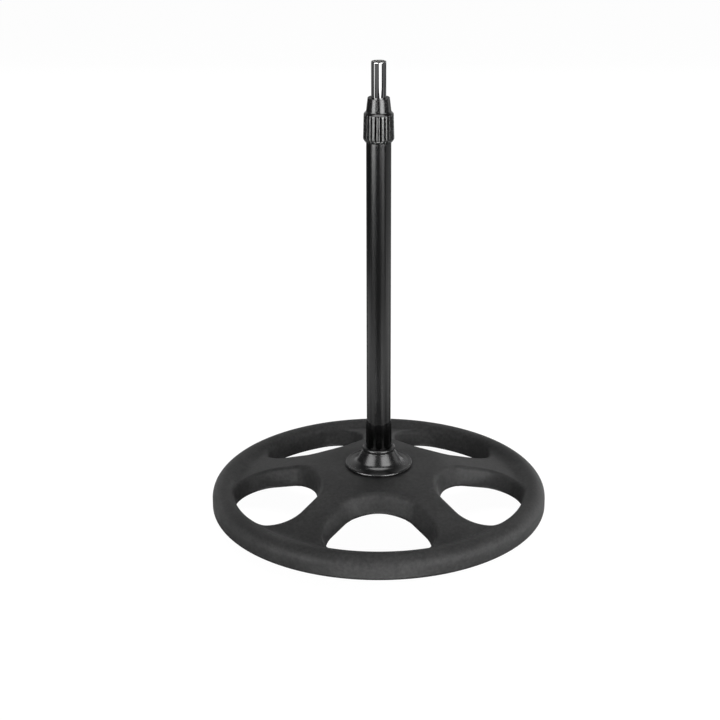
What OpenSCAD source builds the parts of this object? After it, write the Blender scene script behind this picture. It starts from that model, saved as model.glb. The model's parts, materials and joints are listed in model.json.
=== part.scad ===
// Telescopic pedestal stand on a five-window wheel base.
// Millimetres, +Z up, origin on the floor under the middle of the pole.
// One window of the base faces -Y.

/* [Base] */
// Outer diameter of the wheel base
base_d = 448; // [444:2:460]
// Height of the rim's top above the floor
rim_h = 34; // [32:1:38]
// Height of the flat pad that the pole's foot stands on
hub_h = 60; // [59:1:62]
// Wall thickness of the moulded base shell
shell_t = 3; // [2.5:0.5:3.5]
// Number of windows, and of spokes between them
window_count = 5; // [5:1:6]
// Width of a spoke between two windows
spoke_w = 49; // [44:1:52]
// Distance from the pole's axis to a window's inner end
window_in = 89.5; // [86:0.5:94]
// Radius of the rim's inner wall
window_out = 195; // [193:1:196]
// Height of the rubber feet below the base
foot_h = 2; // [1.5:0.5:3]

/* [Pole] */
// Outer diameter of the lower tube
pole_d = 32; // [32:1:34]
// Wall thickness of the lower tube
pole_t = 1.2; // [1:0.1:1.5]
// Height of the lower tube's top above the floor
pole_top = 505; // [480:5:560]
// Height of the socket tube's top above the floor
socket_top = 123; // [110:1:130]
// Wall thickness of the socket tube
socket_t = 1; // [0.8:0.1:1.2]

/* [Mast] */
// Outer diameter of the sliding chromed tube
mast_d = 19.05; // [18.8:0.05:19.3]
// Wall thickness of the sliding tube
mast_t = 1.2; // [1:0.1:1.5]
// Length of the sliding tube
mast_len = 460; // [400:10:480]
// Height of the sliding tube's end above the lower tube's top
mast_out = 102; // [80:1:140]

/* [Twist lock] */
// Largest diameter of the collar, over its ribs
collar_d = 39.6; // [39:0.2:42]
// Height of the collar
collar_h = 56.2; // [56:0.2:60]
// Number of ribs round the collar
rib_count = 20; // [16:2:26]
// Axial travel of the collar in one turn
thread_pitch = 2.5; // [2:0.5:3]

/* [Hidden] */
$fn = 96;
// Overshoot of a cutter past the face that it cuts
eps = 0.5;
// Gap between two pieces of one body
fit = 0.1;
// Gap between two pieces that move past each other
free_gap = 0.4;

// Rim cross-section: a dome over an upright side over a rounded bottom edge
base_r = base_d / 2;
rim_dome_r = 16;
rim_dome_c = [base_r - rim_dome_r, rim_h - rim_dome_r];
rim_edge_r = 6;
rim_edge_c = [base_r - rim_edge_r, foot_h + rim_edge_r];
// Inner radius of the rim's solid section, under the foot of the slope
rim_in_r = window_out - 8;

// Hub and spokes: a flat pad, an arc over the hub's shoulder, then a straight slope
pad_r = 46;
shoulder_r = 200;
shoulder_c = [pad_r, hub_h - shoulder_r];
slope_r = 100;
slope_run = slope_r - pad_r;
slope_z = shoulder_c[1] + sqrt(pow(shoulder_r, 2) - pow(slope_run, 2));
slope = slope_run / (slope_z - shoulder_c[1]);
// Underside: its height at slope_r, its fall towards the rim, and the flat under the hub
under_z = 26;
under_slope = 0.24;
hub_under_r = 70;
under_end_r = window_out + 1.5;
function top_z(r) = slope_z - slope * (r - slope_r);
function under_z_at(r) = under_z - under_slope * (r - slope_r);

// Window outline: rim arc, two outer corners, two flanks along the spokes, two inner corners
half_pitch = 180 / window_count;
apex_r = 90;
apex_c = [window_in + apex_r, 0];
outer_corner_r = 40;
inner_corner_r = 25;
outer_reach = window_out - outer_corner_r;
outer_angle = half_pitch - asin((spoke_w / 2 + outer_corner_r) / outer_reach);
outer_corner_c = outer_reach * [cos(outer_angle), sin(outer_angle)];
// Start of the outer corner's own points, past the last one of the rim arc
outer_start_angle = outer_angle + 8;
// The inner corner touches the flank and the arc of the window's inner end
inner_reach = apex_r - inner_corner_r;
inner_offset = spoke_w / 2 + inner_corner_r;
apex_offset = apex_c[0] * sin(half_pitch);
apex_along = apex_c[0] * cos(half_pitch);
inner_along = apex_along - sqrt(pow(inner_reach, 2) - pow(apex_offset - inner_offset, 2));
inner_corner_c = [
    inner_along * cos(half_pitch) + inner_offset * sin(half_pitch),
    inner_along * sin(half_pitch) - inner_offset * cos(half_pitch)
];
inner_angle = atan2(inner_corner_c[1], inner_corner_c[0] - apex_c[0]);
flank_angle = half_pitch + 90;
arc_steps = 6;

// Pieces inside the base
plate_t = 2.4;
plate_ring_r = rim_edge_c[0] - 1;
ballast_gap = 1;
ballast_arm_w = 16;
ballast_hub_r = 60;
ballast_hub_h = 12;
ballast_ring_in = window_out + shell_t + 3;
ballast_ring_w = 16;
ballast_ring_h = 14;
ballast_ring_z = foot_h + plate_t + 3;
foot_r = 6.5;
foot_stem_r = 2.5;
foot_stem_h = plate_t + 1;
foot_ring_r = 206;
screw_ring_r = 165;
screw_offset = 20;
screw_r = 1.7;
screw_head_r = 3.5;
screw_head_h = 2;
boss_r = 4;
boss_z = 15.2;
boss_top = 32.5;
screw_pad_r = 5.5;
screw_pad_z = 9;
screw_pad_h = 4.5;
screw_len = 15;
screw_hole_h = 13;

// Foot flange of the pole
recess_d = 3;
gasket_t = 0.8;
flange_r = 40.5;
flange_t = 3.2;
flange_z = hub_h - recess_d + gasket_t;
flange_top = flange_z + flange_t;
bolt_r = 2.5;
bolt_ring_r = 23.6;
bolt_count = 4;
bolt_head_r = 4.62;
bolt_head_h = 3.5;
bead = 1.2;
washer_r = 5;
washer_t = 1;
nut_h = 4;
bolt_tip = 1.2;
ballast_top = hub_h - recess_d - shell_t - fit;
nut_z = ballast_top - ballast_hub_h - nut_h;

// Flange cover
cover_r = 44.8;
cover_z = hub_h + 0.2;
cover_t = 1;
roll_r = 1.8;
roll_c = cover_r - roll_r;
neck_r = 21.7;
neck_h = 27;

// Tubes
pole_r = pole_d / 2;
pole_in = pole_r - pole_t;
socket_in = pole_r + fit;
socket_r = socket_in + socket_t;
mast_r = mast_d / 2;
mast_top = pole_top + mast_out;
mast_bottom = mast_top - mast_len;
socket_screw_z = 74;
socket_screw_r = 2.5;
socket_screw_head_r = 4.4;
socket_screw_head_h = 2.6;
pad_h = 8;

// Twist lock, with heights counted from the lower tube's top
collar_r = collar_d / 2;
collar_z = pole_top + free_gap;
thread_r = 14.5;
thread_groove_d = 0.6;
thread_start = 5;
running = 0.08;
body_depth = 30;
body_flange_h = 2.5;
thread_h = 27;
finger_count = 6;
finger_h = 18;
finger_bottom_r = 12.2;
finger_top_r = 11.4;
liner_r = 10.8;
liner_len = body_depth + thread_h + finger_h + 1;
slot_w = 1.4;
ring_z = 31;
ring_h = 11;
ring_r = 13.7;
retainer_h = 1.6;
nose_step_z = 42.5;
rib_groove_r = 0.95;
rib_groove_out = 0.1;
rib_groove_h = 34;
// Turn of the first groove from the +X axis
rib_phase = 6.6;
rib_lean = 1.9;
// Bore radius of the clamp ring: the fingers' taper at height h, plus the gap
finger_taper = (finger_bottom_r - finger_top_r) / finger_h;
function ring_in_r(h) = finger_bottom_r - finger_taper * (h - thread_h) + free_gap;

// Guide at the mast's lower end
guide_h = 24;
guide_z = 22;
guide_ring_h = 3;
cap_t = 1.5;
cap_h = 12;

// Places a child at the middle of every window
module each_window() {
    for (i = [0 : window_count - 1]) rotate([0, 0, i * 2 * half_pitch - 90]) children();
}

// Places a child along every spoke
module each_spoke() {
    for (i = [0 : window_count - 1]) rotate([0, 0, (2 * i + 1) * half_pitch - 90]) children();
}

// Places a child on the bolt circle
module each_bolt() {
    for (i = [0 : bolt_count - 1])
        rotate([0, 0, (i + 0.5) * 360 / bolt_count]) translate([bolt_ring_r, 0, 0]) children();
}

// Places a child at both screws of every spoke
module each_plate_screw() {
    each_spoke() {
        translate([screw_ring_r, screw_offset, 0]) children();
        translate([screw_ring_r, -screw_offset, 0]) children();
    }
}

// Points of an arc about c, from angle a to angle b
function arc_point(c, r, a) = c + r * [cos(a), sin(a)];
function arc(c, r, a, b) = [for (i = [0 : arc_steps]) arc_point(c, r, a + (b - a) * i / arc_steps)];
function mirrored(points) = [for (i = [len(points) - 1 : -1 : 0]) [points[i][0], -points[i][1]]];

// One half of a window's outline, grown outward by g
function half_window(g) = concat(
    [[window_out + g, 0]],
    arc([0, 0], window_out + g, outer_angle / 2, outer_angle),
    arc(outer_corner_c, outer_corner_r + g, outer_start_angle, flank_angle),
    arc(inner_corner_c, inner_corner_r + g, flank_angle, inner_angle),
    arc(apex_c, apex_r + g, (inner_angle + 180) / 2, 180)
);

// Upright prism through every window
module windows(g) {
    each_window() translate([0, 0, -eps]) linear_extrude(hub_h + 2 * eps)
        polygon(concat(half_window(g), mirrored(half_window(g))));
}

// Cross-section of the base's top surface and rim, set in by t
module base_section(t) {
    translate(rim_dome_c) circle(r = rim_dome_r - t);
    translate([rim_dome_c[0], rim_edge_c[1]]) square([rim_dome_r - t, rim_dome_c[1] - rim_edge_c[1]]);
    translate(rim_edge_c) circle(r = rim_edge_r - t);
    translate([rim_in_r, foot_h]) square([rim_edge_c[0] - rim_in_r, rim_dome_c[1] - foot_h]);
    polygon([
        [slope_r, 0], [slope_r, top_z(slope_r) - t],
        [rim_dome_c[0], top_z(rim_dome_c[0]) - t], [rim_dome_c[0], 0]
    ]);
    intersection() {
        translate(shoulder_c) circle(r = shoulder_r - t, $fn = 360);
        translate([pad_r, 0]) square([slope_run + eps / 10, hub_h]);
    }
    square([pad_r + eps / 10, hub_h - t]);
}

// Cross-section of the space under the base: flat under the hub, then sloping to the rim
module under_section() {
    polygon([
        [0, -rim_h], [0, under_z_at(hub_under_r)], [hub_under_r, under_z_at(hub_under_r)],
        [under_end_r, under_z_at(under_end_r)], [under_end_r, foot_h], [base_r, foot_h], [base_r, -rim_h]
    ]);
}

// Closed solid of the base's outside at inset t, without its windows
module base_form(t) {
    rotate_extrude($fn = 180) base_section(t);
}

// Space inside the shell, open at the bottom of the rim
module shell_cavity() {
    difference() {
        union() {
            base_form(shell_t);
            rotate_extrude($fn = 180) translate([slope_r, -eps])
                square([rim_edge_c[0] - slope_r, rim_edge_c[1]]);
        }
        windows(shell_t);
    }
}

// One-piece moulded cover of hub, spokes and rim
module base_shell() {
    color([0.17, 0.17, 0.175]) difference() {
        union() {
            difference() {
                base_form(0);
                shell_cavity();
            }
            each_plate_screw() translate([0, 0, boss_z]) cylinder(h = boss_top - boss_z, r = boss_r);
        }
        rotate_extrude($fn = 180) under_section();
        windows(0);
        translate([0, 0, hub_h - recess_d]) cylinder(h = recess_d + eps, r = flange_r + 1);
        each_bolt() cylinder(h = hub_h, r = bolt_r + fit);
        each_plate_screw() translate([0, 0, boss_z - eps])
            cylinder(h = screw_hole_h, r = screw_r + fit / 2);
    }
}

// Sheet that closes the base from below, screwed to the shell's bosses
module base_plate() {
    color([0.12, 0.12, 0.12]) difference() {
        union() {
            rotate_extrude($fn = 180) difference() {
                translate([0, plate_t]) under_section();
                under_section();
                translate([plate_ring_r, 0]) square([base_r, rim_h]);
            }
            each_plate_screw() translate([0, 0, screw_pad_z])
                cylinder(h = screw_pad_h, r = screw_pad_r);
        }
        windows(shell_t + fit);
        each_plate_screw() translate([0, 0, screw_pad_z - eps])
            cylinder(h = screw_hole_h, r = screw_r + fit);
        each_spoke() translate([foot_ring_r, 0, 0]) cylinder(h = hub_h, r = foot_stem_r + fit);
    }
}

// Iron spider that gives the base its weight: hub, five arms and a ring
module ballast_casting() {
    color([0.3, 0.29, 0.28]) difference() {
        union() {
            translate([0, 0, ballast_top - ballast_hub_h]) cylinder(h = ballast_hub_h, r = ballast_hub_r);
            intersection() {
                rotate_extrude($fn = 180) difference() {
                    base_section(shell_t + ballast_gap);
                    square([slope_run, base_r]);
                    translate([0, plate_t + ballast_gap]) under_section();
                }
                each_spoke() translate([0, -ballast_arm_w / 2, 0])
                    cube([ballast_ring_in + 1, ballast_arm_w, hub_h - shell_t - ballast_gap]);
            }
            rotate_extrude($fn = 180) translate([ballast_ring_in, ballast_ring_z])
                square([ballast_ring_w, ballast_ring_h]);
        }
        each_bolt() cylinder(h = hub_h, r = bolt_r + fit);
    }
}

// Pads that the stand rests on, each with a stem through the plate
module rubber_feet() {
    color([0.06, 0.06, 0.06]) each_spoke() translate([foot_ring_r, 0, 0]) {
        cylinder(h = foot_h, r = foot_r);
        cylinder(h = foot_h + foot_stem_h, r = foot_stem_r);
    }
}

// Two screws a spoke, driven up into the shell's bosses
module plate_screws() {
    color([0.55, 0.55, 0.55]) each_plate_screw() {
        translate([0, 0, screw_pad_z - screw_head_h]) cylinder(h = screw_head_h, r = screw_head_r);
        translate([0, 0, screw_pad_z - eps]) cylinder(h = screw_len, r = screw_r);
    }
}

// Thin washer sheet under the flange
module flange_gasket() {
    color([0.1, 0.1, 0.1]) translate([0, 0, hub_h - recess_d]) difference() {
        cylinder(h = gasket_t, r = flange_r);
        each_bolt() translate([0, 0, -eps]) cylinder(h = gasket_t + 2 * eps, r = bolt_r + fit);
    }
}

// Steel disc at the pole's foot, with the weld bead round the socket
module foot_flange() {
    color([0.35, 0.35, 0.36]) difference() {
        union() {
            translate([0, 0, flange_z]) cylinder(h = flange_t, r = flange_r);
            translate([0, 0, flange_top]) rotate_extrude()
                polygon([[socket_r + fit / 2, 0], [socket_r + bead, 0], [socket_r + fit / 2, bead]]);
        }
        each_bolt() translate([0, 0, flange_z - eps]) cylinder(h = flange_t + 2 * eps, r = bolt_r + fit);
    }
}

// Upright tube on the flange that holds the pole
module socket_tube() {
    color([0.05, 0.05, 0.05]) difference() {
        translate([0, 0, flange_top]) cylinder(h = socket_top - flange_top, r = socket_r);
        translate([0, 0, flange_top - eps])
            cylinder(h = socket_top - flange_top + 2 * eps, r = socket_in);
        socket_screw_holes();
    }
}

// Hex bolts through flange, shell and casting
module flange_bolts() {
    color([0.6, 0.6, 0.6]) each_bolt() {
        translate([0, 0, flange_top + washer_t]) cylinder(h = bolt_head_h, r = bolt_head_r, $fn = 6);
        translate([0, 0, nut_z - bolt_tip])
            cylinder(h = flange_top + washer_t - nut_z + bolt_tip, r = bolt_r);
    }
}

module flange_washers() {
    color([0.7, 0.7, 0.7]) each_bolt() translate([0, 0, flange_top]) difference() {
        cylinder(h = washer_t, r = washer_r);
        translate([0, 0, -eps]) cylinder(h = washer_t + 2 * eps, r = bolt_r + fit);
    }
}

module flange_nuts() {
    color([0.6, 0.6, 0.6]) each_bolt() translate([0, 0, nut_z]) difference() {
        cylinder(h = nut_h, r = bolt_head_r, $fn = 6);
        translate([0, 0, -eps]) cylinder(h = nut_h + 2 * eps, r = bolt_r + fit / 2);
    }
}

// Cross holes for the two screws that hold the pole in its socket
module socket_screw_holes() {
    translate([0, 0, socket_screw_z]) rotate([0, 90, 0])
        cylinder(h = 2 * pole_d, r = socket_screw_r + fit, center = true);
}

module socket_screws() {
    color([0.55, 0.55, 0.55]) for (side = [0, 180])
        rotate([0, 0, side]) translate([0, 0, socket_screw_z]) rotate([0, 90, 0]) {
            translate([0, 0, pole_in - 1]) cylinder(h = socket_r - pole_in + 1.5, r = socket_screw_r);
            translate([0, 0, socket_r + fit]) cylinder(h = socket_screw_head_h, r = socket_screw_head_r);
        }
}

// Loose cone that hides the flange: rolled rim, dished skirt, cone and neck
module flange_cover() {
    color([0.03, 0.03, 0.03]) translate([0, 0, cover_z]) rotate_extrude() {
        polygon([
            // Rolled rim and dished skirt
            [roll_c - cover_t, 1], [roll_c, 1], [roll_c, 2 * roll_r], [37, 3.7], [32.5, 4.9], [30, 6.2],
            // Cone and the groove above it
            [28.4, 8.2], [22.3, 19.4], [21.3, 20.6], [20.9, 21.8], [neck_r - 0.3, 22.6],
            // Neck
            [neck_r, 23.4], [neck_r, neck_h - 1.8], [neck_r - 1, neck_h - 0.5], [neck_r - 2, neck_h],
            [socket_r + free_gap, neck_h], [socket_r + free_gap, neck_h - 3],
            // Inside
            [19.4, neck_h - 4.5], [19.8, 21], [21, 18.6], [27.2, 7.4], [29, 5.2], [32, 3.9], [37, 2.7],
            [roll_c - cover_t, 2.4]
        ]);
        translate([roll_c, roll_r]) circle(r = roll_r);
    }
}

// Lower tube of the pole
module outer_tube() {
    color([0.03, 0.03, 0.03]) difference() {
        translate([0, 0, flange_top + fit]) cylinder(h = pole_top - flange_top - fit, r = pole_r);
        cylinder(h = pole_top + eps, r = pole_in);
        socket_screw_holes();
    }
}

// Rubber buffer at the bottom of the pole
module stop_pad() {
    color([0.08, 0.08, 0.08]) translate([0, 0, flange_top + fit]) cylinder(h = pad_h, r = pole_in - fit);
}

// Bush in the tube's mouth with an outside thread and six clamping fingers
module lock_body() {
    color([0.07, 0.07, 0.07]) translate([0, 0, pole_top]) difference() {
        union() {
            translate([0, 0, -body_depth]) cylinder(h = body_depth, r = pole_in - fit / 2);
            cylinder(h = body_flange_h, r = pole_r - fit);
            cylinder(h = thread_h, r = thread_r);
            translate([0, 0, thread_h]) cylinder(h = finger_h, r1 = finger_bottom_r, r2 = finger_top_r);
        }
        translate([0, 0, -body_depth - eps]) cylinder(h = liner_len, r = liner_r + fit);
        for (i = [0 : finger_count - 1]) rotate([0, 0, i * 360 / finger_count])
            translate([0, -slot_w / 2, thread_h + 1]) cube([pole_r, slot_w, finger_h + eps]);
        for (z = [thread_start : thread_pitch : thread_h - thread_pitch / 2])
            translate([0, 0, z]) thread_groove();
    }
}

// One V-shaped turn of the outside thread
module thread_groove() {
    rotate_extrude() polygon([
        [thread_r - thread_groove_d, 0], [thread_r + eps, -thread_groove_d - eps],
        [thread_r + eps, thread_groove_d + eps]
    ]);
}

// Split nylon sleeve between the fingers and the sliding tube
module collet_liner() {
    color([0.75, 0.74, 0.7]) translate([0, 0, pole_top - body_depth]) difference() {
        cylinder(h = liner_len, r = liner_r);
        translate([0, 0, -eps]) cylinder(h = liner_len + 2 * eps, r = mast_r + running);
        translate([0, -slot_w / 2, -eps]) cube([pole_r, slot_w, liner_len + 2 * eps]);
    }
}

// Tapered ring that the collar presses over the fingers
module clamp_ring() {
    color([0.55, 0.5, 0.35]) translate([0, 0, pole_top + ring_z]) difference() {
        cylinder(h = ring_h, r = ring_r);
        translate([0, 0, -eps])
            cylinder(h = ring_h + 2 * eps, r1 = ring_in_r(ring_z), r2 = ring_in_r(ring_z + ring_h));
    }
}

// Ring inside the collar that makes the clamp ring follow it
module ring_retainer() {
    color([0.6, 0.6, 0.6]) translate([0, 0, pole_top + ring_z - free_gap - retainer_h]) difference() {
        cylinder(h = retainer_h, r = ring_r + free_gap / 2);
        translate([0, 0, -eps]) cylinder(h = retainer_h + 2 * eps, r = finger_bottom_r + free_gap);
    }
}

// Ribbed collar of the twist lock
module lock_collar() {
    color([0.05, 0.05, 0.05]) difference() {
        translate([0, 0, collar_z]) rotate_extrude() polygon([
            // Bevelled foot and ribbed skirt
            [pole_r - 1, 0], [pole_r + 1, 0], [collar_r, 3.8], [collar_r, 4.6], [collar_r - 0.8, 34.6],
            // Shoulder
            [collar_r - 1.7, 36.2], [collar_r - 1.7, 37.4], [pole_r + 0.2, 39], [pole_r - 0.4, 41.6],
            // Tapered nose
            [pole_r - 2.1, collar_h - 1], [pole_r - 2.1, collar_h - 0.3], [pole_r - 2.5, collar_h],
            [pole_r - 5, collar_h], [pole_r - 5, 0]
        ]);
        translate([0, 0, pole_top]) collar_bore();
        for (i = [0 : rib_count - 1]) rotate([0, 0, rib_phase + i * 360 / rib_count])
            translate([collar_r + rib_groove_out, 0, collar_z - eps]) rotate([0, -rib_lean, 0])
                cylinder(h = rib_groove_h, r = rib_groove_r, $fn = 24);
    }
}

// Space inside the collar, with heights counted from the lower tube's top
module collar_bore() {
    cylinder(h = body_flange_h + 0.8, r = pole_r + free_gap);
    cylinder(h = thread_h + 1.5, r = thread_r + running);
    translate([0, 0, thread_h]) cylinder(h = nose_step_z - thread_h, r = ring_r + 0.3);
    translate([0, 0, nose_step_z - eps]) cylinder(h = 10, r1 = ring_r - 1.1, r2 = ring_r - 1.9);
    cylinder(h = collar_h + 1, r = mast_r + free_gap);
}

// Chromed tube that slides and turns in the pole
module inner_tube() {
    color([0.75, 0.76, 0.78]) translate([0, 0, mast_bottom]) difference() {
        cylinder(h = mast_len, r = mast_r);
        translate([0, 0, -eps]) cylinder(h = mast_len + 2 * eps, r = mast_r - mast_t);
    }
}

// Nylon bush that guides the sliding tube's lower end in the pole
module guide_bush() {
    color([0.85, 0.84, 0.8]) translate([0, 0, mast_bottom + guide_z]) difference() {
        cylinder(h = guide_h, r = pole_in - running);
        translate([0, 0, -eps]) cylinder(h = guide_h + 2 * eps, r = mast_r + running);
    }
}

// Rings on the sliding tube above and below the guide bush
module guide_rings() {
    ring_bottoms = [guide_z - free_gap - guide_ring_h, guide_z + guide_h + free_gap];
    color([0.6, 0.6, 0.6]) for (h = ring_bottoms) translate([0, 0, mast_bottom + h]) difference() {
        cylinder(h = guide_ring_h, r = pole_in - 1.3);
        translate([0, 0, -eps]) cylinder(h = guide_ring_h + 2 * eps, r = mast_r + fit / 2);
    }
}

// Cap over the sliding tube's lower end
module tube_cap() {
    color([0.1, 0.1, 0.1]) translate([0, 0, mast_bottom - cap_t]) difference() {
        cylinder(h = cap_h, r = mast_r + fit + cap_t);
        translate([0, 0, cap_t]) cylinder(h = cap_h, r = mast_r + fit / 2);
    }
}

base_shell();
base_plate();
ballast_casting();
rubber_feet();
plate_screws();
flange_gasket();
foot_flange();
socket_tube();
flange_bolts();
flange_washers();
flange_nuts();
socket_screws();
flange_cover();
outer_tube();
stop_pad();
lock_body();
collet_liner();
clamp_ring();
ring_retainer();
lock_collar();
inner_tube();
guide_bush();
guide_rings();
tube_cap();
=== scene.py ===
"""Telescopic pedestal stand on a five-window wheel base: the looks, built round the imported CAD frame.

Metres throughout. Lengths in the shapes below are written as millimetres times MM.
"""
import json
import math

import bmesh
import bpy
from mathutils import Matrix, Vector


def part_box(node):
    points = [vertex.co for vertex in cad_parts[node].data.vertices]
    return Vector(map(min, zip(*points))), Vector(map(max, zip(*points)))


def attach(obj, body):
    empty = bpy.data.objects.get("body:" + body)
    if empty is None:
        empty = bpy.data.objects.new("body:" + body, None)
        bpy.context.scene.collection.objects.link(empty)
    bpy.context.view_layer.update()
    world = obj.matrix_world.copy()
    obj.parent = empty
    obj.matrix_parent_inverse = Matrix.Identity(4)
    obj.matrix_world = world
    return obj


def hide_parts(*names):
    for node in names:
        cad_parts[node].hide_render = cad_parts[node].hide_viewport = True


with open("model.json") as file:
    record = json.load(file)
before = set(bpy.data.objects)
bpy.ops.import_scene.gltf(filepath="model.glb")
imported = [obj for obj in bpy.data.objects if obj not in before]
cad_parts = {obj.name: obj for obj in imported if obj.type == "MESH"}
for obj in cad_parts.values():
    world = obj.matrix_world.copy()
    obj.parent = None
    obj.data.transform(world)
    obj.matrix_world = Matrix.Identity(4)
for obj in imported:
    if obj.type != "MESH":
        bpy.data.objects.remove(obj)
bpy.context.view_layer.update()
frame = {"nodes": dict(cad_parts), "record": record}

MM = 0.001
SPOKES = 5
LATHE_SEGMENTS = 160


# ---------------------------------------------------------------- sizes from the frame

def radius_of(node):
    low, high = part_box(node)
    return (high.x - low.x) / 2


BASE_R = radius_of("base_shell")
BASE_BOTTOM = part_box("base_shell")[0].z
HUB_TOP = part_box("base_shell")[1].z
POLE_R = radius_of("outer_tube")
POLE_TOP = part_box("outer_tube")[1].z
SOCKET_R = radius_of("socket_tube")
SOCKET_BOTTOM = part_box("socket_tube")[0].z
SOCKET_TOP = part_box("socket_tube")[1].z
MAST_R = radius_of("inner_tube")
MAST_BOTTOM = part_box("inner_tube")[0].z
MAST_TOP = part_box("inner_tube")[1].z
COVER_R = radius_of("flange_cover")
COVER_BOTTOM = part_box("flange_cover")[0].z
COLLAR_R = radius_of("lock_collar")
COLLAR_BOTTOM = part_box("lock_collar")[0].z
RECESS_R = radius_of("foot_flange") + 1 * MM


# ---------------------------------------------------------------- mesh helpers

def new_piece(name, verts, faces, sharp_degrees=35):
    mesh = bpy.data.meshes.new(name)
    mesh.from_pydata(verts, [], faces)
    mesh.validate()
    shade(mesh, sharp_degrees)
    piece = bpy.data.objects.new(name, mesh)
    bpy.context.scene.collection.objects.link(piece)
    return piece


def shade(mesh, sharp_degrees):
    """Smooth shading, broken at every edge that turns by more than the given angle."""
    mesh.shade_smooth()
    mesh.set_sharp_from_angle(angle=math.radians(sharp_degrees))


def direction(angle):
    return Vector((math.cos(angle), math.sin(angle)))


def smoothstep(x, low=0.0, high=1.0):
    t = min(1.0, max(0.0, (x - low) / (high - low)))
    return t * t * (3 - 2 * t)


# The most of a straight stretch that the rounding of one of its ends may take
MOST_OF_SIDE = 0.45


def rounded_profile(corners, steps=5):
    """Points of a polyline of (r, z, corner size), with each corner turned into a smooth curve."""
    points = []
    last = len(corners) - 1
    for i, (r, z, size) in enumerate(corners):
        here = Vector((r, z))
        if size == 0 or i in (0, last):
            points.append(here)
            continue
        back = Vector(corners[i - 1][:2]) - here
        on = Vector(corners[i + 1][:2]) - here
        reach = min(size, MOST_OF_SIDE * back.length, MOST_OF_SIDE * on.length)
        start = here + back.normalized() * reach
        end = here + on.normalized() * reach
        for k in range(steps + 1):
            t = k / steps
            points.append(start * (1 - t) ** 2 + here * 2 * t * (1 - t) + end * t * t)
    return held(points)


def held(points):
    """The same polyline with points near both ends of every long stretch, so that it shades straight."""
    near = 0.3 * MM
    result = [points[0]]
    for before, after in zip(points, points[1:]):
        step = after - before
        if step.length > 5 * near:
            result += [before + step.normalized() * near, after - step.normalized() * near]
        result.append(after)
    return result


def even_angles(count):
    return [2 * math.pi * k / count for k in range(count)]


def lathe(name, profile, angles=None, closed=True, radius_at=None):
    """A body of revolution about the pole's axis. radius_at(angle, r, z) may change a point's radius."""
    verts, faces = [], []
    rows = len(profile)
    angles = angles or even_angles(LATHE_SEGMENTS)
    segments = len(angles)
    for angle in angles:
        for r, z in profile:
            if radius_at:
                r = radius_at(angle, r, z)
            verts.append((r * math.cos(angle), r * math.sin(angle), z))
    spans = rows if closed else rows - 1
    for k in range(segments):
        a, b = k * rows, (k + 1) % segments * rows
        for i in range(spans):
            j = (i + 1) % rows
            faces.append((a + i, b + i, b + j, a + j))
    return new_piece(name, verts, faces)


# ---------------------------------------------------------------- the wheel base

RIM_DOME_R = 16 * MM
RIM_DOME = Vector((BASE_R - RIM_DOME_R, 18 * MM))
RIM_EDGE_R = 6 * MM
RIM_EDGE = Vector((BASE_R - RIM_EDGE_R, BASE_BOTTOM + RIM_EDGE_R))
PAD_R = 46 * MM
SHOULDER_R = 200 * MM
SLOPE_R = 100 * MM
SHOULDER_Z = HUB_TOP - SHOULDER_R
SLOPE_Z = SHOULDER_Z + math.sqrt(SHOULDER_R ** 2 - (SLOPE_R - PAD_R) ** 2)
SLOPE = (SLOPE_R - PAD_R) / (SLOPE_Z - SHOULDER_Z)
VALLEY_R = 12 * MM
UNDER_Z = 26 * MM
UNDER_SLOPE = 0.24
SHELL_T = 3 * MM
HALF_PITCH = math.pi / SPOKES
HALVINGS = 50


def valley_centre():
    """Centre of the fillet that joins the slope to the rim's dome, found by halving."""
    low, high = RIM_DOME.x - 40 * MM, RIM_DOME.x
    for _ in range(HALVINGS):
        r = (low + high) / 2
        centre = Vector((r, slope_z(r) + VALLEY_R * math.hypot(1, SLOPE)))
        if (centre - RIM_DOME).length > RIM_DOME_R + VALLEY_R:
            low = r
        else:
            high = r
    return centre


def slope_z(r):
    return SLOPE_Z - SLOPE * (r - SLOPE_R)


VALLEY = valley_centre()
VALLEY_IN = VALLEY.x - VALLEY_R * SLOPE / math.hypot(1, SLOPE)
VALLEY_OUT = RIM_DOME.x + (VALLEY.x - RIM_DOME.x) * RIM_DOME_R / (RIM_DOME_R + VALLEY_R)


def top_z(r):
    """Height of the wheel's top surface at radius r."""
    if r < PAD_R:
        return HUB_TOP
    if r < SLOPE_R:
        return SHOULDER_Z + math.sqrt(SHOULDER_R ** 2 - (r - PAD_R) ** 2)
    if r < VALLEY_IN:
        return slope_z(r)
    if r < VALLEY_OUT:
        return VALLEY.y - math.sqrt(VALLEY_R ** 2 - (r - VALLEY.x) ** 2)
    return RIM_DOME.y + math.sqrt(max(0, RIM_DOME_R ** 2 - (r - RIM_DOME.x) ** 2))


def under_z(r):
    return max(BASE_BOTTOM, UNDER_Z - UNDER_SLOPE * (r - SLOPE_R))


# Window outline: arcs whose outward normals turn steadily from the rim side to the hub side
WINDOW_IN = 89.5 * MM
WINDOW_OUT = 195 * MM
SPOKE_HALF = 24.5 * MM
APEX_R = 90 * MM
OUTER_CORNER_R = 40 * MM
INNER_CORNER_R = 25 * MM
OUTER_REACH = WINDOW_OUT - OUTER_CORNER_R
OUTER_ANGLE = HALF_PITCH - math.asin((SPOKE_HALF + OUTER_CORNER_R) / OUTER_REACH)
OUTER_CORNER = OUTER_REACH * Vector((math.cos(OUTER_ANGLE), math.sin(OUTER_ANGLE)))
APEX = Vector((WINDOW_IN + APEX_R, 0))
FLANK_ANGLE = HALF_PITCH + math.pi / 2


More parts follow.
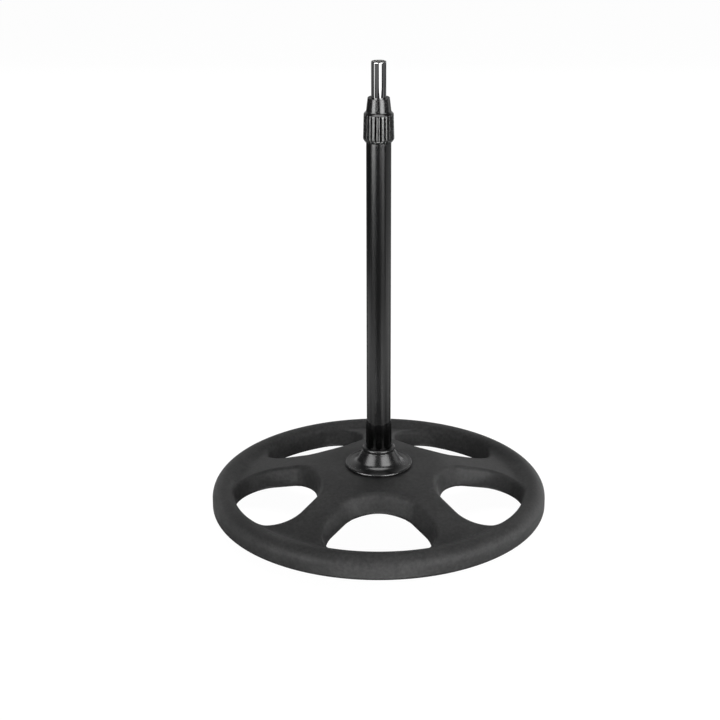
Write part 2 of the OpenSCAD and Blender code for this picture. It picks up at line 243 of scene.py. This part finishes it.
def inner_corner():
    offset = SPOKE_HALF + INNER_CORNER_R
    along = APEX.x * math.cos(HALF_PITCH) - math.sqrt(
        (APEX_R - INNER_CORNER_R) ** 2 - (APEX.x * math.sin(HALF_PITCH) - offset) ** 2)
    return Vector((along * math.cos(HALF_PITCH) + offset * math.sin(HALF_PITCH),
                   along * math.sin(HALF_PITCH) - offset * math.cos(HALF_PITCH)))


INNER_CORNER = inner_corner()
INNER_ANGLE = math.atan2(INNER_CORNER.y, INNER_CORNER.x - APEX.x)
FLANK_STEPS = 8
ORIGIN = Vector((0, 0))


def half_outline():
    """(point, outward normal angle) along one half of the window, rim side first."""
    rim_corner = RIM_DOME.x * direction(HALF_PITCH)
    hub_corner = PAD_R * direction(HALF_PITCH)
    to_rim_corner = rim_corner - OUTER_CORNER
    to_hub_corner = hub_corner - APEX
    rim_split = math.atan2(to_rim_corner.y, to_rim_corner.x)
    hub_split = math.atan2(to_hub_corner.y, to_hub_corner.x)
    samples = [(Vector((WINDOW_OUT, 0)), 0.0)]
    add_arc(samples, ORIGIN, WINDOW_OUT, OUTER_ANGLE, 12)
    add_arc(samples, OUTER_CORNER, OUTER_CORNER_R, rim_split, 18)
    add_arc(samples, OUTER_CORNER, OUTER_CORNER_R, FLANK_ANGLE, 12)
    flank_start = samples[-1][0]
    flank_end = INNER_CORNER + INNER_CORNER_R * direction(FLANK_ANGLE)
    for k in range(1, FLANK_STEPS + 1):
        samples.append((flank_start.lerp(flank_end, k / FLANK_STEPS), FLANK_ANGLE))
    add_arc(samples, INNER_CORNER, INNER_CORNER_R, INNER_ANGLE, 7)
    add_arc(samples, APEX, APEX_R, hub_split, 8)
    add_arc(samples, APEX, APEX_R, math.pi, 7)
    return samples


def add_arc(samples, centre, radius, end, steps):
    """Goes on from the last sample's normal angle to the end angle."""
    start = samples[-1][1]
    for k in range(1, steps + 1):
        angle = start + (end - start) * k / steps
        samples.append((centre + radius * direction(angle), angle))


NEARLY_ZERO = 1e-9


def reach_to_border(point, angle):
    """Distance along the outward normal to the sector's border: rim crown, spoke middle or hub pad."""
    n = direction(angle)
    along = point.dot(n)
    reaches = []
    disc = along ** 2 - point.length_squared + RIM_DOME.x ** 2
    reaches.append(-along + math.sqrt(disc))
    turn = math.sin(angle - HALF_PITCH)
    if turn > NEARLY_ZERO:
        offset = point.x * math.sin(HALF_PITCH) - point.y * math.cos(HALF_PITCH)
        reaches.append(offset / turn)
    disc = along ** 2 - point.length_squared + PAD_R ** 2
    if disc >= 0 and -along - math.sqrt(disc) > 0:
        reaches.append(-along - math.sqrt(disc))
    return min(reaches)


WALL_ROWS = 6
LIP_ROWS = 9
TOP_ROWS = 12
# Values at the window's rim side, what its flanks and hub side add, and what the hub side's middle adds
LIP_R = (5 * MM, 1.5 * MM, 0)
FOOT_OFFSET = (-1 * MM, -2 * MM, 4 * MM)
WALL_DRAFT = (0.09, 0.16, -0.1)
LIP_ROUNDS = 4


def window_column(point, angle):
    """Points from the window's bottom edge, up its wall, over the lip and across the top."""
    n = direction(angle)
    lip_r = window_value(LIP_R, angle)
    foot = window_value(FOOT_OFFSET, angle)
    draft = window_value(WALL_DRAFT, angle)
    swing = math.pi / 2 - math.atan(draft)

    def place(s, z):
        p = point + n * s
        return (p.x, p.y, z)

    def radius(s):
        return (point + n * s).length

    # The lip's start and the wall's height depend on each other, so they are found in a few rounds
    z_foot = under_z(radius(foot))
    lip_start = foot + lip_r
    for _ in range(LIP_ROUNDS):
        z_wall = top_z(radius(lip_start - lip_r * math.sin(swing))) - lip_r * (1 - math.cos(swing))
        lip_start = foot + draft * (z_wall - z_foot) + lip_r * math.sin(swing)
    wall_top = lip_start - lip_r * math.sin(swing)
    column = []
    for k in range(WALL_ROWS):
        t = k / WALL_ROWS
        column.append(place(foot + (wall_top - foot) * t, z_foot + (z_wall - z_foot) * t))
    for k in range(LIP_ROWS + 1):
        turn = swing * (1 - k / LIP_ROWS)
        s = lip_start - lip_r * math.sin(turn)
        column.append(place(s, top_z(radius(s)) - lip_r * (1 - math.cos(turn))))
    border = reach_to_border(point, angle)
    for k in range(1, TOP_ROWS + 1):
        s = lip_start + (border - lip_start) * k / TOP_ROWS
        column.append(place(s, top_z(radius(s))))
    return column


def window_value(values, angle):
    """A value that changes round the window with the outward normal's angle, 0 at the rim side."""
    rim_side, flanks_add, middle_adds = values
    inward = smoothstep(angle, math.radians(15), math.radians(95))
    middle = smoothstep(angle, math.radians(145), math.pi)
    return rim_side + flanks_add * inward + middle_adds * middle


ON_BORDER = 1e-6


def wheel_mesh(name):
    """The outer skin of the wheel: five window sectors, the rim's outside and the hub pad."""
    half = half_outline()
    loop = half + [(Vector((p.x, -p.y)), -a) for p, a in reversed(half[1:-1])]
    columns = []
    for point, angle in loop:
        if angle < 0:
            column = window_column(Vector((point.x, -point.y)), -angle)
            columns.append([(x, -y, z) for x, y, z in column])
        else:
            columns.append(window_column(point, angle))
    verts, faces = [], []
    rows = len(columns[0])
    for i in range(SPOKES):
        turn = direction(2 * HALF_PITCH * i - math.pi / 2)
        start = len(verts)
        for column in columns:
            for x, y, z in column:
                verts.append((x * turn.x - y * turn.y, x * turn.y + y * turn.x, z))
        for k in range(len(columns)):
            a = start + k * rows
            b = start + (k + 1) % len(columns) * rows
            for j in range(rows - 1):
                faces.append((a + j, b + j, b + j + 1, a + j + 1))
    ends = [column[-1] for column in columns]
    rim = [p for p in ends if math.hypot(p[0], p[1]) > RIM_DOME.x - ON_BORDER]
    hub = [p for p in ends if math.hypot(p[0], p[1]) < PAD_R + ON_BORDER]
    add_ring(verts, faces, rim, rim_profile())
    add_ring(verts, faces, hub, hub_profile())
    return weld(name, verts, faces)


DOME_STEPS = 15
EDGE_STEPS = 12


def rim_profile():
    """(r, z) from the rim's crown, over the outside to the bottom opening: two quarter turns."""
    dome_turns = [math.pi / 2 * (1 - k / DOME_STEPS) for k in range(DOME_STEPS + 1)]
    edge_turns = [-math.pi / 2 * k / EDGE_STEPS for k in range(EDGE_STEPS + 1)]
    dome = [RIM_DOME + RIM_DOME_R * direction(turn) for turn in dome_turns]
    edge = [RIM_EDGE + RIM_EDGE_R * direction(turn) for turn in edge_turns]
    return dome + edge


def hub_profile():
    """(r, z) from the hub pad's edge, down into the flange's recess and on to the middle."""
    edge = 0.8 * MM
    floor = HUB_TOP - 3 * MM
    return [
        (PAD_R, HUB_TOP), (PAD_R - 2 * MM, HUB_TOP),
        (RECESS_R + edge, HUB_TOP), (RECESS_R, HUB_TOP - edge),
        (RECESS_R, floor), (30 * MM, floor), (12 * MM, floor),
    ]


def add_ring(verts, faces, border, profile):
    """Revolves a profile, with one column for every border point of every sector."""
    angles = sorted({
        round((math.atan2(y, x) + 2 * HALF_PITCH * i) % (2 * math.pi), 7)
        for x, y, z in border for i in range(SPOKES)})
    start, rows = len(verts), len(profile)
    for angle in angles:
        turn = direction(angle - math.pi / 2)
        for r, z in profile:
            verts.append((r * turn.x, r * turn.y, z))
    for k in range(len(angles)):
        a = start + k * rows
        b = start + (k + 1) % len(angles) * rows
        for j in range(rows - 1):
            faces.append((a + j, b + j, b + j + 1, a + j + 1))


def weld(name, verts, faces):
    """Joins points that coincide and turns every face outward."""
    piece = new_piece(name, verts, faces)
    bm = bmesh.new()
    bm.from_mesh(piece.data)
    bmesh.ops.remove_doubles(bm, verts=bm.verts, dist=0.02 * MM)
    bmesh.ops.recalc_face_normals(bm, faces=bm.faces)
    crown = max(bm.faces, key=lambda f: f.calc_center_median().z)
    if crown.normal.z < 0:
        bmesh.ops.reverse_faces(bm, faces=bm.faces)
    bm.to_mesh(piece.data)
    bm.free()
    shade(piece.data, 50)
    return piece


def make_wheel():
    wheel = wheel_mesh("wheel_shell")
    wall = wheel.modifiers.new("wall", "SOLIDIFY")
    wall.thickness = SHELL_T
    wall.offset = -1
    wall.use_even_offset = True
    apply_modifiers(wheel)
    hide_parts("base_shell")
    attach(wheel, "stand")
    return wheel


def apply_modifiers(piece):
    graph = bpy.context.evaluated_depsgraph_get()
    mesh = bpy.data.meshes.new_from_object(piece.evaluated_get(graph))
    piece.modifiers.clear()
    piece.data = mesh


# ---------------------------------------------------------------- pole, cover, lock and mast

def make_cover():
    """The loose cone: rolled rim, dished skirt, cone, groove and neck ring."""
    b = COVER_BOTTOM
    rim = COVER_R / MM
    rolled_rim = [
        (rim - 3.0, 0.8, 0), (rim - 1.7, 0.05, 0.8), (rim - 0.2, 0.6, 1.2), (rim, 2.0, 1.2),
        (rim - 0.5, 3.4, 1.0), (rim - 2.2, 3.7, 1.2), (rim - 4.2, 3.2, 1.5),
    ]
    skirt = [(37, 3.75, 3), (32.4, 5.0, 3), (29.2, 7.2, 3), (22.3, 19.4, 2), (21.0, 21.4, 1)]
    neck_ring = [
        (21.1, 22.3, 0.5), (21.7, 22.9, 0.5), (21.7, 25.4, 0.8),
        (20.9, 26.6, 0.6), (19.6, 27.0, 0.4), (17.5, 27.0, 0),
    ]
    inside = [
        (17.5, 24, 0), (19.4, 22.5, 0), (19.8, 21, 0), (21, 18.6, 0), (27.2, 7.4, 0),
        (29, 5.2, 0), (32, 3.9, 0), (37, 2.7, 0), (41.8, 2.3, 0),
    ]
    profile = rounded_profile([scaled(p, b) for p in rolled_rim + skirt + neck_ring + inside])
    cover = lathe("flange_cone", profile)
    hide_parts("flange_cover")
    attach(cover, "cover")
    return cover


def scaled(corner, base):
    """A corner given in millimetres above a base height, in metres."""
    r, z, size = corner
    return (r * MM, base + z * MM, size * MM)


def make_socket():
    """The dark stretch of tube that the pole stands in, with a softened top edge."""
    wall = 1 * MM
    profile = rounded_profile([
        (SOCKET_R - wall, SOCKET_BOTTOM, 0), (SOCKET_R, SOCKET_BOTTOM, 0),
        (SOCKET_R, SOCKET_TOP, 0.15 * MM), (SOCKET_R - wall, SOCKET_TOP, 0.3 * MM),
        (SOCKET_R - wall, SOCKET_TOP - 2 * MM, 0)])
    socket = lathe("socket_sleeve", profile)
    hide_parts("socket_tube")
    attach(socket, "stand")
    return socket


def make_pole():
    wall = 1.2 * MM
    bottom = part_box("outer_tube")[0].z
    profile = rounded_profile([
        (POLE_R - wall, bottom, 0), (POLE_R, bottom, 0), (POLE_R, POLE_TOP, 0.4 * MM),
        (POLE_R - wall, POLE_TOP, 0)])
    pole = lathe("pole_tube", profile)
    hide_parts("outer_tube")
    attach(pole, "stand")
    return pole


def make_mast():
    wall = 1.2 * MM
    profile = rounded_profile([
        (MAST_R - wall, MAST_BOTTOM, 0), (MAST_R, MAST_BOTTOM, 0.3 * MM), (MAST_R, MAST_TOP, 0.35 * MM),
        (MAST_R - wall, MAST_TOP, 0.25 * MM), (MAST_R - wall, MAST_TOP - 3 * MM, 0)])
    mast = lathe("mast_tube", profile)
    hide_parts("inner_tube")
    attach(mast, "mast")
    return mast


def bare_inside(mast, steel):
    """The mast is plated on its outside only."""
    mast.data.materials.append(steel)
    for face in mast.data.polygons:
        if math.hypot(face.center.x, face.center.y) < MAST_R - 1 * MM:
            face.material_index = 1


RIBS = 20
RIB_PHASE = math.radians(6.6)
RIB_BOTTOM = 3.6 * MM
RIB_TOP = 35.6 * MM
RIB_DEPTH = 1.9 * MM
RIB_CROWN = 0.5 * MM
RIB_EDGE = 0.36
NOSE_R = 15 * MM
# Places across a rib, from the middle of one groove (0) to the rib's crown (1)
RIB_STATIONS = (0, 0.12, 0.24, 0.33, 0.36, 0.39, 0.48, 0.6, 0.72, 0.86)


def rib_groove(angle, height):
    """Depth of the groove between two ribs at an angle and a height above the collar's bottom."""
    across = abs(((angle - RIB_PHASE) * RIBS / (2 * math.pi) + 0.5) % 1 - 0.5) * 2
    side = max(0.0, 1 - across / RIB_EDGE)
    fade_in = smoothstep(height, RIB_BOTTOM - 1.6 * MM, RIB_BOTTOM + 0.6 * MM)
    fade_out = 1 - smoothstep(height, RIB_TOP - 1.0 * MM, RIB_TOP + 0.4 * MM)
    crown = RIB_CROWN * (1 - across) ** 2
    return (RIB_DEPTH * side + crown) * fade_in * fade_out


def rib_angles():
    half = math.pi / RIBS
    fractions = list(RIB_STATIONS) + [1] + [2 - f for f in reversed(RIB_STATIONS[1:])]
    return [RIB_PHASE + half * (2 * i + f) for i in range(RIBS) for f in fractions]


def make_collar():
    """Ribbed body with a bevelled foot, a stepped shoulder and a tapered nose."""
    b = COLLAR_BOTTOM
    foot = [(16.45, 0.2, 0), (16.7, 0.0, 0.2), (17.2, 0.05, 0.3), (19.5, 3.2, 0.9)]
    first_row = 4.4
    row_height = 1.1
    rows = 28
    taper = 1 / 38
    skirt = [
        (COLLAR_R / MM - taper * k * row_height, first_row + k * row_height, 0)
        for k in range(rows)]
    shoulder = [
        (18.95, 35.1, 0), (18.8, 35.8, 0), (18.45, 36.4, 0.3),
        (17.6, 37.1, 0.6), (16.1, 38.9, 0.8), (15.75, 41.0, 0.6),
    ]
    nose = [
        (14.15, 54.6, 0), (13.98, 56.0, 0.1), (13.85, 56.15, 0.1),
        (10.4, 56.15, 0.3), (9.95, 55.6, 0.2), (9.95, 50, 0),
    ]
    profile = rounded_profile([scaled(p, b) for p in foot + skirt + shoulder + nose], steps=4)

    def grooved(angle, r, z):
        return r - rib_groove(angle, z - b) if r > NOSE_R else r

    collar = lathe("twist_collar", profile, angles=rib_angles(), closed=False, radius_at=grooved)
    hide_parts("lock_collar")
    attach(collar, "collar")
    return collar


# ---------------------------------------------------------------- materials

BUMP_STRENGTH = 0.6
SPECK_SCALE = 210
# The middle of a noise texture's range, where most of its values lie
NOISE_SPAN = (0.35, 0.65)


def new_material(name):
    material = bpy.data.materials.new(name)
    material.use_nodes = True
    tree = material.node_tree
    shader = tree.nodes["Principled BSDF"]
    return material, tree, shader


def object_coordinates(tree):
    return tree.nodes.new("ShaderNodeTexCoord").outputs["Object"]


def noise(tree, vector, scale, detail=4.0, roughness=0.55):
    node = tree.nodes.new("ShaderNodeTexNoise")
    node.inputs["Scale"].default_value = scale
    node.inputs["Detail"].default_value = detail
    node.inputs["Roughness"].default_value = roughness
    tree.links.new(vector, node.inputs["Vector"])
    return node.outputs["Fac"]


def ramp(tree, value, stops):
    """A colour ramp between two (position, colour) stops."""
    node = tree.nodes.new("ShaderNodeValToRGB")
    for element, (position, colour) in zip(node.color_ramp.elements, stops):
        element.position = position
        element.color = (*colour, 1)
    tree.links.new(value, node.inputs["Fac"])
    return node.outputs["Color"]


def spread(tree, value, low, high, span=(0, 1)):
    """Maps a span, 0..1 unless it is given, to low..high."""
    node = tree.nodes.new("ShaderNodeMapRange")
    node.inputs["From Min"].default_value = span[0]
    node.inputs["From Max"].default_value = span[1]
    node.inputs["To Min"].default_value = low
    node.inputs["To Max"].default_value = high
    tree.links.new(value, node.inputs["Value"])
    return node.outputs["Result"]


def bump(tree, shader, height, distance):
    node = tree.nodes.new("ShaderNodeBump")
    node.inputs["Strength"].default_value = BUMP_STRENGTH
    node.inputs["Distance"].default_value = distance
    tree.links.new(height, node.inputs["Height"])
    tree.links.new(node.outputs["Normal"], shader.inputs["Normal"])


def grey(level, warmth=0.0):
    return (level * (1 + warmth), level, level * (1 - warmth))


def speckled(tree, vector, tone, amount):
    """The same tone with small lighter and darker specks, as on a fine-textured moulding."""
    specks = noise(tree, vector, SPECK_SCALE, roughness=0.7)
    node = tree.nodes.new("ShaderNodeVectorMath")
    node.operation = "SCALE"
    tree.links.new(tone, node.inputs["Vector"])
    factor = spread(tree, specks, 1 - amount, 1 + amount, NOISE_SPAN)
    tree.links.new(factor, node.inputs["Scale"])
    return node.outputs["Vector"]


def mottled(name, tones, rough, grain, grain_depth,
            metallic=0.0, specular=0.5, patch=18.0, warmth=0.0, specks=0.0):
    """A surface whose tone and roughness drift in soft patches, with a fine grain in its relief.

    tones and rough are (low, high) pairs. grain and patch are the noise scales of the relief and of
    the patches, grain_depth is in metres, and specks is how far small specks stray from the tone.
    """
    material, tree, shader = new_material(name)
    vector = object_coordinates(tree)
    patches = noise(tree, vector, patch)
    fine = noise(tree, vector, grain, detail=2.0)
    colours = [grey(level, warmth) for level in tones]
    tone = ramp(tree, patches, zip(NOISE_SPAN, colours))
    if specks:
        tone = speckled(tree, vector, tone, specks)
    tree.links.new(tone, shader.inputs["Base Color"])
    tree.links.new(spread(tree, patches, *rough), shader.inputs["Roughness"])
    shader.inputs["Metallic"].default_value = metallic
    shader.inputs["Specular IOR Level"].default_value = specular
    bump(tree, shader, fine, grain_depth)
    return material


def make_materials():
    """One material for each of the record's slots, and two that only single pieces have."""
    return {
        "base_plastic": mottled(
            "fine_grain_plastic", (0.0145, 0.0200), (0.46, 0.58), 700, 0.0002, specular=0.25, specks=0.3),
        "dark_plate": mottled(
            "plate_plastic", (0.012, 0.017), (0.5, 0.65), 600, 0.0001, specular=0.08),
        "iron": mottled(
            "cast_iron", (0.10, 0.17), (0.55, 0.8), 320, 0.0004, metallic=0.8, warmth=0.06),
        "rubber": mottled(
            "foot_rubber", (0.010, 0.016), (0.7, 0.85), 700, 0.00015),
        "zinc": mottled(
            "zinc_plate", (0.55, 0.68), (0.22, 0.38), 500, 0.00003, metallic=1.0, warmth=0.02),
        "painted_steel": mottled(
            "gloss_paint", (0.0005, 0.0009), (0.15, 0.19), 260, 0.00002, specular=1.0, patch=9),
        "sleeve": mottled(
            "dull_black_sleeve", (0.0003, 0.0006), (0.10, 0.13), 260, 0.00002, specular=0.35, patch=9),
        "gloss_black": mottled(
            "gloss_plastic", (0.0025, 0.004), (0.24, 0.30), 300, 0.00002, specular=1.0),
        "lock_plastic": mottled(
            "satin_plastic", (0.0025, 0.0042), (0.18, 0.22), 800, 0.00002, specular=1.0),
        "nylon": mottled(
            "natural_nylon", (0.62, 0.72), (0.4, 0.5), 400, 0.00005, warmth=0.03),
        "brass": mottled(
            "turned_brass", (0.5, 0.62), (0.25, 0.35), 400, 0.00003, metallic=1.0, warmth=0.3),
        "bare_steel": mottled(
            "bare_steel", (0.30, 0.38), (0.45, 0.6), 500, 0.00003, metallic=0.3, warmth=0.01),
        "chrome": mottled(
            "polished_chrome", (0.55, 0.60), (0.012, 0.02), 200, 0.000002, metallic=1.0),
    }


def paint(piece, material):
    piece.data.materials.clear()
    piece.data.materials.append(material)


# ---------------------------------------------------------------- stage

FLOOR_HALF = 14.0
WALL_R = 0.98 * FLOOR_HALF
WALL_HEIGHT = 10.0
WALL_SIDES = 48
LIGHT_DISTANCE = 2.6
# Keeps the panels that light the object out of the plane of those that it reflects
PANEL_GAP = 0.1

# Rows of name, azimuths, heights and radiance. Azimuths are degrees round the pole from the front,
# positive to the right. Heights are metres above the floor.
LIGHTING_PANELS = [
    ("key_left", (-72, -21), (0.35, 1.35), 2.5),
    ("key_right", (18, 70), (0.35, 1.35), 3.0),
    ("front_left", (-76, -30), (0.02, 0.34), 3.5),
    ("front_right", (22, 76), (0.02, 0.34), 10.0),
    ("side_left", (-102, -64), (0.05, 0.9), 2.0),
    ("side_right", (64, 108), (0.05, 0.9), 13.0),
    ("back_left", (-150, -106), (0.30, 1.6), 2.0),
    ("back_right", (112, 150), (0.30, 1.6), 1.5),
    ("back_top", (150, 210), (1.6, 2.8), 18.0),
]

# Panels that only show as reflections. Those at negative heights stand below the floor, which reflected
# rays pass through.
REFLECTED_PANELS = [
    ("nose_left", (-63, -33), (0.26, 1.15), 3.3),
    ("nose_right", (15, 48), (0.26, 1.15), 3.7),
    ("cone_left", (-76, -24), (1.15, 2.2), 2.3),
    ("cone_right", (16, 68), (1.15, 2.2), 2.8),
    ("rib_left", (-62, -12), (0.10, 0.26), 14.0),
    ("rib_right", (12, 58), (0.10, 0.26), 13.5),
    ("mast_left", (-74, -61), (-0.072, 0.06), 1.1),
    ("mast_middle", (-60, 4), (-0.072, 0.06), 0.10),
    ("mast_flank_left", (-125, -75), (-0.072, 0.06), 0.05),
    ("mast_flank_right", (43, 125), (-0.072, 0.06), 0.07),
    ("mast_right", (5, 42), (-0.072, 0.06), 1.9),
    ("pole_left", (-66, -30), (-0.24, -0.10), 3.3),
    ("pole_right", (34, 48), (-0.33, -0.10), 0.8),
    ("middle_left", (-70, -40), (-0.74, -0.24), 0.12),
    ("middle_right", (33, 60), (-0.72, -0.33), 0.16),
    ("low_left", (-125, -80), (-1.0, -0.62), 0.45),
    ("low_front_left", (-80, -36), (-0.84, -0.74), 0.42),
    ("low_front_right", (22, 70), (-0.84, -0.72), 0.45),
    ("foot_left", (-80, -36), (-1.0, -0.84), 0.60),
    ("foot_middle", (-36, 22), (-1.0, -0.84), 0.25),
    ("foot_right", (22, 70), (-1.0, -0.84), 0.65),
    ("low_right", (70, 125), (-1.0, -0.55), 0.48),
    ("flank_right", (72, 125), (-0.55, -0.10), 0.24),
    ("edge_right", (103, 130), (0.10, 0.9), 0.5),
    ("foot_glow", (-35, 35), (-3.4, -1.4), 7.0),
    ("rear_left", (-178, -112), (0.8, 2.2), 0.22),
    ("rear_right", (112, 178), (0.8, 2.2), 0.25),
    ("rear_middle", (130, 230), (0.3, 1.7), 0.15),
    ("back_strip_left", (-165, -145), (-1.3, 0.8), 0.4),
    ("back_strip_right", (145, 165), (-1.3, 0.8), 0.6),
]

# A panel that faces down and only shows as a reflection
OVERHEAD_PLACE = Vector((0, -0.3, 2.6))
OVERHEAD_SIZE = (2.0, 1.6)
OVERHEAD_RADIANCE = 2.0

# Light rises from the floor round the wheel, between these distances from the pole along X and Y
GLOW_NEAR = 0.25
GLOW_FAR = 1.6
# Rows of name, X span, Y span and radiance
GLOW_PANELS = [
    ("glow_front", (-GLOW_FAR, GLOW_FAR), (-GLOW_FAR, -GLOW_NEAR), 2.5),
    ("glow_left", (-GLOW_FAR, -GLOW_NEAR), (-GLOW_NEAR, GLOW_NEAR), 7.0),
    ("glow_right", (GLOW_NEAR, GLOW_FAR), (-GLOW_NEAR, GLOW_NEAR), 9.0),
    ("glow_back", (-GLOW_FAR, GLOW_FAR), (GLOW_NEAR, GLOW_FAR), 2.5),
]


def make_stage():
    """Pale floor, pale wall and soft lights."""
    make_floor()
    make_backdrop()
    for name, azimuths, heights, radiance in LIGHTING_PANELS:
        softbox(name, azimuths, heights, radiance, LIGHT_DISTANCE + PANEL_GAP).visible_glossy = False
    for name, span_x, span_y, radiance in GLOW_PANELS:
        glow_panel(name, span_x, span_y, radiance)
    overhead = panel("overhead", OVERHEAD_PLACE, Vector((0, 0, -1)), *OVERHEAD_SIZE, OVERHEAD_RADIANCE)
    overhead.visible_diffuse = False
    for name, azimuths, heights, radiance in REFLECTED_PANELS:
        softbox(name, azimuths, heights, radiance, LIGHT_DISTANCE).visible_diffuse = False
    make_world()
    bpy.context.scene.view_settings.view_transform = "Standard"


def make_world():
    """A faint, slightly cool light from all round."""
    world = bpy.data.worlds.new("studio")
    world.use_nodes = True
    background = world.node_tree.nodes["Background"]
    background.inputs["Color"].default_value = (0.95, 0.95, 1.0, 1)
    background.inputs["Strength"].default_value = 0.045
    bpy.context.scene.world = world


def glowing(name, level, strength):
    """A matt grey surface that gives off white light of its own, so that it renders nearly white."""
    material, _, shader = new_material(name)
    shader.inputs["Base Color"].default_value = (*grey(level), 1)
    shader.inputs["Roughness"].default_value = 0.9
    shader.inputs["Specular IOR Level"].default_value = 0.0
    shader.inputs["Emission Color"].default_value = (1, 1, 1, 1)
    shader.inputs["Emission Strength"].default_value = strength
    return material


def make_floor():
    half = FLOOR_HALF
    corners = [(-half, -half, 0), (half, -half, 0), (half, half, 0), (-half, half, 0)]
    floor = new_piece("floor", corners, [(0, 1, 2, 3)])
    paint(floor, glowing("pale_floor", 0.05, 0.975))
    floor.visible_glossy = False


def make_backdrop():
    """A round wall that only closes the view above the floor.

    It neither lights the object nor shows in it.
    """
    verts, faces = [], []
    for angle in even_angles(WALL_SIDES):
        for z in (0, WALL_HEIGHT):
            verts.append((WALL_R * math.cos(angle), WALL_R * math.sin(angle), z))
    for k in range(WALL_SIDES):
        a, b = 2 * k, 2 * ((k + 1) % WALL_SIDES)
        faces.append((a, a + 1, b + 1, b))
    wall = new_piece("backdrop", verts, faces)
    paint(wall, glowing("pale_wall", 0, 1.0))
    wall.visible_diffuse = False
    wall.visible_glossy = False
    wall.visible_shadow = False


def softbox(name, azimuths, heights, radiance, distance):
    """An upright panel round the pole between two azimuths and two heights."""
    half = math.radians(azimuths[1] - azimuths[0]) / 2
    middle = math.radians(azimuths[0] + azimuths[1]) / 2
    away = Vector((math.sin(middle), -math.cos(middle), 0))
    place = distance * away + Vector((0, 0, (heights[0] + heights[1]) / 2))
    return panel(name, place, -away, 2 * distance * math.tan(half), heights[1] - heights[0], radiance)


def glow_panel(name, span_x, span_y, radiance):
    """Light that rises from a rectangle of the floor, as from a lit table."""
    place = Vector((sum(span_x) / 2, sum(span_y) / 2, 3 * MM))
    lamp = panel(name, place, Vector((0, 0, 1)), span_x[1] - span_x[0], span_y[1] - span_y[0], radiance)
    lamp.visible_glossy = False


def panel(name, place, facing, width, height, radiance):
    light = bpy.data.lights.new(name, "AREA")
    light.shape = "RECTANGLE"
    light.size = width
    light.size_y = height
    light.energy = 4 * width * height * radiance
    lamp = bpy.data.objects.new(name, light)
    bpy.context.scene.collection.objects.link(lamp)
    lamp.location = place
    lamp.rotation_euler = facing.to_track_quat("-Z", "Y").to_euler()
    return lamp


# ---------------------------------------------------------------- camera

# Metres from the pole's axis and above the floor
CAMERA_DISTANCE = 2.251
CAMERA_HEIGHT = 1.107
# Degrees below the horizon
CAMERA_DOWN = 21.73
# Share of the frame's width
CAMERA_SHIFT = -0.026
# Millimetres
CAMERA_LENS = 92.15
SENSOR_WIDTH = 36


def make_camera():
    data = bpy.data.cameras.new("camera")
    data.lens = CAMERA_LENS
    data.sensor_width = SENSOR_WIDTH
    data.shift_x = CAMERA_SHIFT
    camera = bpy.data.objects.new("camera", data)
    bpy.context.scene.collection.objects.link(camera)
    camera.location = (0, -CAMERA_DISTANCE, CAMERA_HEIGHT)
    camera.rotation_euler = (math.radians(90 - CAMERA_DOWN), 0, 0)
    bpy.context.scene.camera = camera


def main():
    make_camera()
    make_stage()
    materials = make_materials()
    pieces = {
        "base_plastic": make_wheel(),
        "gloss_black": make_cover(),
        "sleeve": make_socket(),
        "painted_steel": make_pole(),
        "lock_plastic": make_collar(),
        "chrome": make_mast(),
    }
    for name, piece in pieces.items():
        paint(piece, materials[name])
    bare_inside(pieces["chrome"], materials["bare_steel"])
    for entry in frame["record"]["subparts"]:
        paint(frame["nodes"][entry["node"]], materials[entry["material_slot"]])


main()
